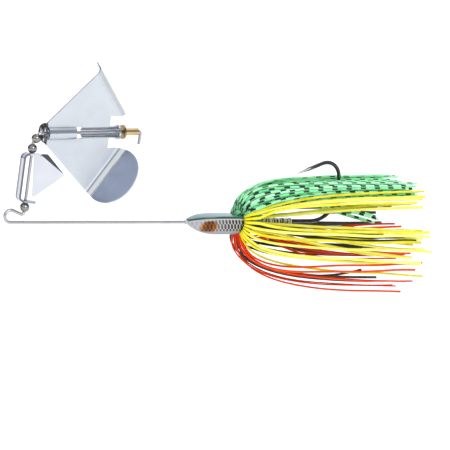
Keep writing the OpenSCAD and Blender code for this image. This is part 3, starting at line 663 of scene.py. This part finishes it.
def head_paint():
    m = Shader("head_paint")
    along, down = [m.math("MULTIPLY", v, HEAD_UV) for v in m.split(m.uv())[:2]]
    wob = m.noise(m.object_coord(), PAINT_CLOUD, 2)
    # Dark scales in a pale net, stronger towards the back
    cell = scale_cells(m, along, down)
    rear = m.smooth(along, *SCALES_ALONG)
    ink = m.math("MULTIPLY", m.math("MULTIPLY", cell, m.between(down, *SCALES_DOWN)),
                 m.span(rear, *SCALES_DARK))
    net = m.wash(m.mix(rear, NET_FRONT, NET_REAR), NET_CLOUD, wob, NET_CLOUD_SHARE)
    tint = m.mix(ink, net, SCALE_INK)
    # Gill patch: brown at its core, orange round it, with the scales showing through
    patch, core = gill_patch(m, along, down, wob)
    rust = m.mix(core, GILL_RIM_TINT, GILL_CORE_TINT)
    rust = m.wash(rust, GILL_SCALE_TINT, cell, GILL_SCALE_SHARE)
    tint = m.wash(tint, rust, patch, m.span(cell, *GILL_COVER))
    # The belly is grey, the back deep green with a darker line at the shoulder
    tint = m.mix(m.smooth(down, *BELLY_FROM), tint, BELLY_TINT)
    green = m.mix(m.smooth(down, *BACK_LINE_FROM), m.ramp(wob, BACK_TINTS), BACK_LINE)
    back = m.smooth(down, *BACK_FROM)
    m.set("Base Color", m.mix(back, tint, green))
    m.set("Metallic", PAINT_METALLIC)
    m.set("Roughness", m.span(wob, *PAINT_ROUGH))
    m.set("Specular IOR Level", PAINT_SHINE)
    m.set("Coat Weight", m.span(back, *PAINT_COAT))
    m.set("Coat Roughness", PAINT_COAT_ROUGH)
    m.bump(m.math("MULTIPLY", ink, -1.0), SCALE_BUMP, SCALE_STRENGTH)
    return m


def make_head():
    shape = Shape()
    for j in range(HEAD_RINGS + 1):
        t = (j / HEAD_RINGS) ** RING_CROWD
        ring, down = head_ring(t)
        for (y, z), d in zip(rounded(rounded(ring)), down):
            shape.verts.append((NOSE_X + HEAD_L * t, y, z))
            shape.uvs.append((HEAD_L * t / HEAD_UV, d / HEAD_UV))
    shape.stitch(0, HEAD_RINGS, DECK_POINTS + SIDE_POINTS, capped=True)
    shape.lathe(NOSE_SLEEVE, NOSE_X, ARM_Z, NOSE_POINTS, NOSE_UV)
    shape.lathe(COLLAR, HEAD_BACK, SHANK_Z, COLLAR_POINTS, COLLAR_UV)
    head = shape.piece("painted_head", head_paint())
    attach(head, "frame")
    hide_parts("head")


# Band: points round its section and round the ring, power that squares the section, number and
# height of the ribs on it, and how far it is sunk below the source's band, in millimetres
BAND_SECTION, BAND_POINTS, BAND_SQUARE = 24, 64, 0.6
BAND_RIBS, BAND_RIB, BAND_SUNK = 8, 0.016, 0.02
RUBBER = [(0.3, (0.012, 0.012, 0.012)), (0.7, (0.035, 0.035, 0.035))]
RUBBER_GRAIN, RUBBER_ROUGH, RUBBER_BUMP, RUBBER_STRENGTH = 1500, (0.5, 0.8), 0.00003, 0.5


def squared(v):
    return math.copysign(abs(v) ** BAND_SQUARE, v)


def make_band():
    profile = []
    for k in range(BAND_SECTION + 1):
        a = 2 * math.pi * k / BAND_SECTION
        thick = BAND_T / 2 - BAND_SUNK + BAND_RIB * math.cos(BAND_RIBS * a)
        profile.append((BAND_W / 2 - BAND_W / 2 * squared(math.cos(a)),
                        BAND_R + BAND_T / 2 + thick * squared(math.sin(a))))
    shape = Shape()
    shape.lathe(profile, BAND_X, SHANK_Z, BAND_POINTS, (0, 0))
    m = Shader("band_rubber")
    grain = m.noise(m.object_coord(), RUBBER_GRAIN, 3)
    m.set("Base Color", m.ramp(grain, RUBBER))
    m.set("Roughness", m.span(grain, *RUBBER_ROUGH))
    m.bump(grain, RUBBER_BUMP, RUBBER_STRENGTH)
    band = shape.piece("rubber_band", m)
    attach(band, "frame")
    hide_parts("skirt_band")


# Skirt: strands in ring order, as in the part's source. Angles about the shank run from the hook's
# side towards the viewer. Each strand has an inner and an outer tail, and loose tails lie beside
# them.
COLOURS = [("green", 9), ("yellow", 9), ("red", 5), ("black", 6)]
# Degrees left free for the hook, number of strands, and those that lie before the hook
HOOK_LANE, STRAND_TOTAL, RING_SHIFT = 32.0, 29, 5
STRAND_STEP = (360 - HOOK_LANE) / (STRAND_TOTAL - 1)
# Groups of strands: the first one, and the end angles of the first and the last. The last entry
# only ends the list.
GROUPS = [(0, -52, -16), (5, 16, 43), (9, 51, 66), (11, 88, 136), (18, 146, 184), (23, 200, 296),
          (29, 0, 0)]
# Length over which the tails spread, and reach of the inner tails as a share of the outer ones'
SPREAD = {"green": 6.3, "yellow": 17.0, "red": 9.0, "black": 8.0}
INNER_SHARE = {"green": 0.78, "yellow": 0.78, "red": 0.5, "black": 0.55}
INNER_VARY, OUTER_VARY = 0.06, 0.06
# Reach of the tails on the hook's side and opposite it
FLARE_TOP, FLARE_LOW = 14.7, 23.5
# Length over which a tail swings to its end angle, powers of the spread, and turn of the fold
SWING_L, OUTER_RISE, INNER_RISE, CURL_TURN = 12.0, 0.65, 1.5, 112.0
# Power of the swing of a late tail, which keeps its angle for longer
LATE_SWING = 1.4
# Where the longest tails end, and the most by which others fall short of it
SKIRT_END, RAGGED = 143.0, 5.0
# Degrees from one strand to the next, and from one use to the next, in the pattern that varies them
VARY_STRAND, VARY_PART = 137.5, 71
# Start of the inner tails, under the band
INNER_X = BAND_X - 0.05
# Red strands: the middle one, and the share by which the spread differs from one to the next
RED_MID, RED_FAN = 20, 0.13
# Ripple of each tail: heights and lengths in millimetres between which it is drawn, and a full turn
RIPPLE_H, RIPPLE_L, TURN = (0.05, 0.25), (26, 44), 6.28
# Number of loose tails beside each outer and inner tail, and how far they stray from it
LOOSE = {"green": (2, 1), "yellow": (0, 0), "red": (0, 0), "black": (1, 0)}
LOOSE_ROOT, LOOSE_END, LOOSE_SHORT = 5, 7, 4
LOOSE_SPREAD, LOOSE_REACH = (0.8, 1.3), (0.9, 1.02)
# Strands' width and how it varies, thickness along the tail and at the ring, and the power by which
# the second gives way to the first
STRAND_W = {"green": 0.92, "yellow": 0.9, "red": 0.68, "black": 0.92}
WIDTH_VARY = (0.9, 1.05)
STRAND_T, ROOT_T, ROOT_FADE = 0.45, 0.6, 4
# Share of its room at the ring that each strand fills
ROOM_SHARE = {"green": 0.8, "yellow": 0.8, "red": 0.55, "black": 0.8}
# Most that strands, loose tails and stray tails twist, in radians
STRAND_TWIST, LOOSE_TWIST, STRAY_TWIST = 0.4, 1.1, 0.6
# Points round the fold and steps along the tail
CURL_STEPS, TAIL_STEPS = 8, 44
# Where the green stray tails rise from the back of the head: x and radius
TUCK = [(78.5, 2.15), (79.35, 2.65), (80.1, 3.15)]
# No loose tail ends near this angle, where the trailer keeper shows, and the tails beside it lean
# away and swing sooner
KEEPER_GAP, KEEPER_GAP_HALF, KEEPER_LEAN, KEEPER_SWING = 77, 16, 6, 4.0
# Stray tails, which lie folded back like the outer tails or flat like the inner ones: angle at the
# ring and at the end, reach, end, swing (0 for a late one) and how far the end draws in
STRAYS = {
    "green": [
        (-27, -36, 15.0, 138, 12, 0), (-18, -32, 14.6, 140, 12, 0), (-9, -28, 15.2, 139, 12, 0),
        (0, -20, 14.9, 141, 12, 0), (9, 28, 15.2, 142, 12, 0), (18, 31, 14.7, 140, 12, 0),
        (27, 38, 15.1, 139, 12, 0), (36, 42, 14.8, 141, 12, 0), (-26, -98, 9.0, 139, 0, 0),
        (-30, -104, 8.6, 137, 0, 0), (-22, -92, 9.6, 138, 0, 0), (-34, -99, 9.3, 134, 0, 0),
    ],
    "yellow": [(57, 46, 16.6, 142, 12, 0), (61, 54, 15.6, 141, 12, 0)],
    "red": [
        (160, 122, 20.6, 140, 16, 0), (166, 128, 21.4, 138, 16, 0), (170, 86, 5.2, 136, 20, 0),
        (176, 92, 6.2, 138, 20, 0),
    ],
    "black": [(186, 168, 19.5, 126, 12, 3.8)],
}
INNER_STRAYS = {
    "black": [
        (98, 101, 15.4, 134, 12, 0), (104, 105, 16.4, 138, 12, 0), (109, 108, 15.8, 140, 12, 0),
    ],
}
# Seed of the first colour's random numbers
SEED = 41


def vary(i, part):
    return math.sin(math.radians(i * VARY_STRAND + part * VARY_PART))


def root_angle(i):
    back = HOOK_LANE - STRAND_STEP if i < RING_SHIFT else 0
    return HOOK_LANE / 2 + STRAND_STEP * (i - RING_SHIFT) - back


def end_angle(i):
    for (first, low, high), (after, _, _) in zip(GROUPS, GROUPS[1:]):
        if first <= i < after:
            return low + (high - low) * (i - first) / (after - first - 1)


def beside_keeper(i):
    return abs(end_angle(i) - KEEPER_GAP) < KEEPER_GAP_HALF


def flare(angle):
    mid, half = (FLARE_TOP + FLARE_LOW) / 2, (FLARE_TOP - FLARE_LOW) / 2
    return mid + half * math.cos(math.radians(angle))


def strand_path(i, colour, inner, loose, rng):
    """One tail of a strand. A loose one strays a little from its strand."""
    root, end, spread = root_angle(i), end_angle(i), SPREAD[colour]
    to = SKIRT_END - RAGGED / 2 * (1 + vary(i, 0 if inner else 2))
    reach, swing = 1.0, SWING_L
    if colour == "red":
        spread *= 1 + RED_FAN * (RED_MID - i)
    if beside_keeper(i):
        end += math.copysign(KEEPER_LEAN, end - KEEPER_GAP)
        swing = KEEPER_SWING
    if loose:
        root += rng.uniform(-LOOSE_ROOT, LOOSE_ROOT)
        end += rng.uniform(-LOOSE_END, LOOSE_END)
        spread *= rng.uniform(*LOOSE_SPREAD)
        to -= rng.uniform(0, LOOSE_SHORT)
        reach = rng.uniform(*LOOSE_REACH)
    reach *= flare(end)
    if inner:
        reach *= INNER_SHARE[colour] * (1 + INNER_VARY * vary(i, 1))
    else:
        reach *= 1 - OUTER_VARY + OUTER_VARY * vary(i, 3)
    return tail_path(root, end, reach, to, spread, swing, 0.0, inner, rng)


def tail_path(root, end, reach, to, spread, swing_l, draw, inner, rng):
    """Points of one tail as x, angle and radius."""
    path = []
    if inner:
        path.append((INNER_X, root, ROOT_R))
        x0, r0 = TAIL_X, ROOT_R
    else:
        for k in range(CURL_STEPS):
            a = math.radians(CURL_TURN) * k / (CURL_STEPS - 1)
            path.append((CURL_X - CURL_R * math.sin(a), root, ROOT_R + CURL_R * (1 - math.cos(a))))
        x0, _, r0 = path.pop()
    length = to - x0
    amp, wave, phase = rng.uniform(*RIPPLE_H), rng.uniform(*RIPPLE_L), rng.uniform(0, TURN)
    top = 1 - math.exp(-(length / spread) ** OUTER_RISE)
    for k in range(TAIL_STEPS + 1):
        s = (k / TAIL_STEPS) ** 2
        x = length * s
        if inner:
            grow = 1 - math.exp(-(x / (2 * spread)) ** INNER_RISE)
        else:
            grow = (1 - math.exp(-(x / spread) ** OUTER_RISE)) / top
        ripple = amp * s * math.sin(TURN * x / wave + phase)
        r = r0 + (reach - r0) * grow + ripple - draw * s ** 3
        if swing_l:
            swing = 1 - math.exp(-max(0.0, x0 + x - TAIL_X) / swing_l)
        else:
            swing = (x / length) ** LATE_SWING
        path.append((x0 + x, root + (end - root) * swing + math.degrees(ripple / r), r))
    return path


# Cross-section of a strand, in half widths and half thicknesses
STRIP_SHAPE = [(-1, -0.6), (-0.8, -1), (0.8, -1), (1, -0.6), (1, 0.6), (0.8, 1), (-0.8, 1),
               (-1, 0.6)]
# Millimetres along a strand to one unit of UV
STRAND_UV = 80


def strip(shape, path, wide, room, twist, tone, offset):
    """Adds a flat strand along a path, narrower and thicker where it leaves the ring."""
    pts = []
    for x, th, r in path:
        a = math.radians(th)
        pts.append(Vector((x, -r * math.sin(a), SHANK_Z + r * math.cos(a))))
    first, far = len(shape.verts), 0.0
    last = len(pts) - 1
    for k, p in enumerate(pts):
        _, th, r = path[k]
        a = math.radians(th)
        way = (pts[min(k + 1, last)] - pts[max(k - 1, 0)]).normalized()
        tangent = Vector((0, -math.cos(a), -math.sin(a)))
        side = (tangent - way * tangent.dot(way)).normalized()
        out = side.cross(way)
        c, s = math.cos(twist * k / last), math.sin(twist * k / last)
        side, out = c * side + s * out, c * out - s * side
        half_w = min(wide, room * r * math.radians(STRAND_STEP)) / 2
        half_t = max(STRAND_T, ROOT_T * min(1.0, (ROOT_R / r) ** ROOT_FADE)) / 2
        if k:
            far += (p - pts[k - 1]).length
        for b, d in STRIP_SHAPE:
            shape.verts.append(tuple(p + side * (b * half_w) + out * (d * half_t)))
            shape.uvs.append((far / STRAND_UV, 0.5 + 0.5 * b))
            shape.values["strand_tone"].append(tone)
            shape.values["strand_offset"].append(offset)
    shape.stitch(first, last, len(STRIP_SHAPE), capped=True)


# Silicone: clouding and grain, and the depth to which light goes into it, in metres times a scale
CLOUD_GRAIN, SKIN_GRAIN, SKIN_BUMP, SKIN_STRENGTH = 260, 1800, 0.00002, 0.4
SCATTER, SCATTER_SCALE = (0.001, 0.001, 0.001), 0.6
# Plain colours: dark, middle and light tint, painted shade at the ring, and share of light that
# goes in
SILICONE = {
    "yellow": ((0.58, 0.51, 0.010), (0.93, 0.90, 0.12), (0.97, 0.96, 0.28), (0.90, 0.80, 0.010),
               0.15),
    "red": ((0.48, 0.014, 0.0005), (0.82, 0.060, 0.001), (0.90, 0.11, 0.006), (0.76, 0.035, 0.0005),
            0.0),
    "black": ((0.02, 0.021, 0.015), (0.045, 0.047, 0.034), (0.08, 0.083, 0.062),
              (0.03, 0.031, 0.023), 0.0),
}
# Stops of the tint, and shares of the clouding and of each strand's own tone in it
TONE_STOPS, PLAIN_TONE, GREEN_TONE = (0.2, 0.5, 0.8), (0.5, 0.5), (0.6, 0.4)
# Plain strands: measure from the middle at which the painted shade of the rim begins, UV over which
# the painted shade of the ring goes, the shares of both, roughness and shine
PLAIN_RIM, PLAIN_ROOT, PLAIN_RIM_SHARE, PLAIN_ROOT_SHARE = 0.30, (0.20, 0.02), 0.7, 0.8
PLAIN_ROUGH, PLAIN_SHINE = (0.3, 0.55), 0.05
# Green strands: the same, and their tints, the last being the painted shade of the rim and ring
GREEN_RIM, GREEN_ROOT, GREEN_RIM_SHARE, GREEN_ROOT_SHARE = 0.32, (0.10, 0.0), 0.35, 0.6
GREEN_ROUGH, GREEN_SHINE, GREEN_CLEAR = (0.2, 0.45), 0.15, 0.25
MINT, MINT_PAINTED_SHADE = ((0.12, 0.58, 0.22), (0.33, 0.88, 0.43), (0.54, 0.98, 0.62)), (0.02, 0.27, 0.08)
# Dashes on the green: pitch in millimetres, the parts of a pitch and of the width that are inked,
# the scale and level of the noise that leaves some out, and the ink
DASH_PITCH, DASH, DASH_LANE = 5.2, (0.02, 0.06, 0.40, 0.44), (0.04, 0.12, 0.90, 0.98)
DASH_NOISE, DASH_KEPT, DASH_INK = 37.0, (0.36, 0.42), (0.012, 0.03, 0.02)


def strand_base(colour, tones, rough, shine, clear):
    """A silicone without its colour, with the tone that the colour varies by."""
    m = Shader("strand_" + colour)
    cloud = m.noise(m.object_coord(), CLOUD_GRAIN, 3)
    m.tone = m.blend(cloud, tones[0], m.attribute("strand_tone"), tones[1])
    m.set("Roughness", m.span(cloud, *rough))
    m.set("Specular IOR Level", shine)
    m.set("Subsurface Weight", clear)
    m.set("Subsurface Radius", SCATTER)
    m.set("Subsurface Scale", SCATTER_SCALE)
    m.bump(m.noise(m.object_coord(), SKIN_GRAIN, 2), SKIN_BUMP, SKIN_STRENGTH)
    return m


def rim_of(m, v, start):
    """1 along both edges of a strand."""
    return m.smooth(m.math("ABSOLUTE", m.math("SUBTRACT", v, 0.5)), start, 0.5)


def plain_silicone(colour):
    *tints, ring, clear = SILICONE[colour]
    m = strand_base(colour, PLAIN_TONE, PLAIN_ROUGH, PLAIN_SHINE, clear)
    u, v, _ = m.split(m.uv())
    # Painted shade: darker along its edges and towards the ring, where the strands shade each other
    tint = m.ramp(m.tone, list(zip(TONE_STOPS, tints)))
    tint = m.wash(tint, ring, m.smooth(u, *PLAIN_ROOT), PLAIN_ROOT_SHARE)
    m.set("Base Color", m.wash(tint, tints[0], rim_of(m, v, PLAIN_RIM), PLAIN_RIM_SHARE))
    return m


def barred_green():
    m = strand_base("green", GREEN_TONE, GREEN_ROUGH, GREEN_SHINE, GREEN_CLEAR)
    u, v, _ = m.split(m.uv())
    # Painted shade along the edges and towards the ring, where the strands shade each other
    deep = m.math("MULTIPLY_ADD", rim_of(m, v, GREEN_RIM), GREEN_RIM_SHARE,
                  m.math("MULTIPLY", m.smooth(u, *GREEN_ROOT), GREEN_ROOT_SHARE), clamp=True)
    mint = m.mix(deep, m.ramp(m.tone, list(zip(TONE_STOPS, MINT))), MINT_PAINTED_SHADE)
    far = m.math("MULTIPLY_ADD", u, STRAND_UV / DASH_PITCH, m.attribute("strand_offset"))
    keep = m.smooth(m.noise(m.math("FLOOR", far), DASH_NOISE, 0), *DASH_KEPT)
    dash = m.math("MULTIPLY", m.between(m.math("FRACT", far), *DASH), m.between(v, *DASH_LANE))
    m.set("Base Color", m.mix(m.math("MULTIPLY", dash, keep), mint, DASH_INK))
    return m


def skirt_paths(colour, strands, rng):
    """Every tail of one colour, with the most that it twists."""
    paths = []
    for i in strands:
        for inner, extra in zip((False, True), LOOSE[colour]):
            paths.append((strand_path(i, colour, inner, False, rng), STRAND_TWIST))
            for _ in range(0 if beside_keeper(i) else extra):
                paths.append((strand_path(i, colour, inner, True, rng), LOOSE_TWIST))
    for inner, strays in ((False, STRAYS), (True, INNER_STRAYS)):
        for root, end, reach, to, swing_l, draw in strays.get(colour, []):
            tail = tail_path(root, end, reach, to, SPREAD[colour], swing_l, draw, inner, rng)
            if colour == "green":
                tail[:len(TUCK)] = [(x, root, r) for x, r in TUCK]
            paths.append((tail, STRAY_TWIST))
    return paths


def make_skirt():
    first = 0
    for index, (colour, count) in enumerate(COLOURS):
        rng = random.Random(SEED + index)
        shape = Shape("strand_tone", "strand_offset")
        for path, twist in skirt_paths(colour, range(first, first + count), rng):
            strip(shape, path, STRAND_W[colour] * rng.uniform(*WIDTH_VARY), ROOM_SHARE[colour],
                  rng.uniform(-twist, twist), rng.random(), rng.random())
        first += count
        ob = shape.piece(colour + "_strands",
                         barred_green() if colour == "green" else plain_silicone(colour))
        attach(ob, "frame")
        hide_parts(*[f"{colour}_strand_{k + 1}" for k in range(count)])


make_camera()
make_sky()
make_lamps()
make_floor()
dress_wire_and_beads()
dress_blade()
dress_clacker()
dress_rivet_and_hook()
dress_keeper()
make_head()
make_band()
make_skirt()
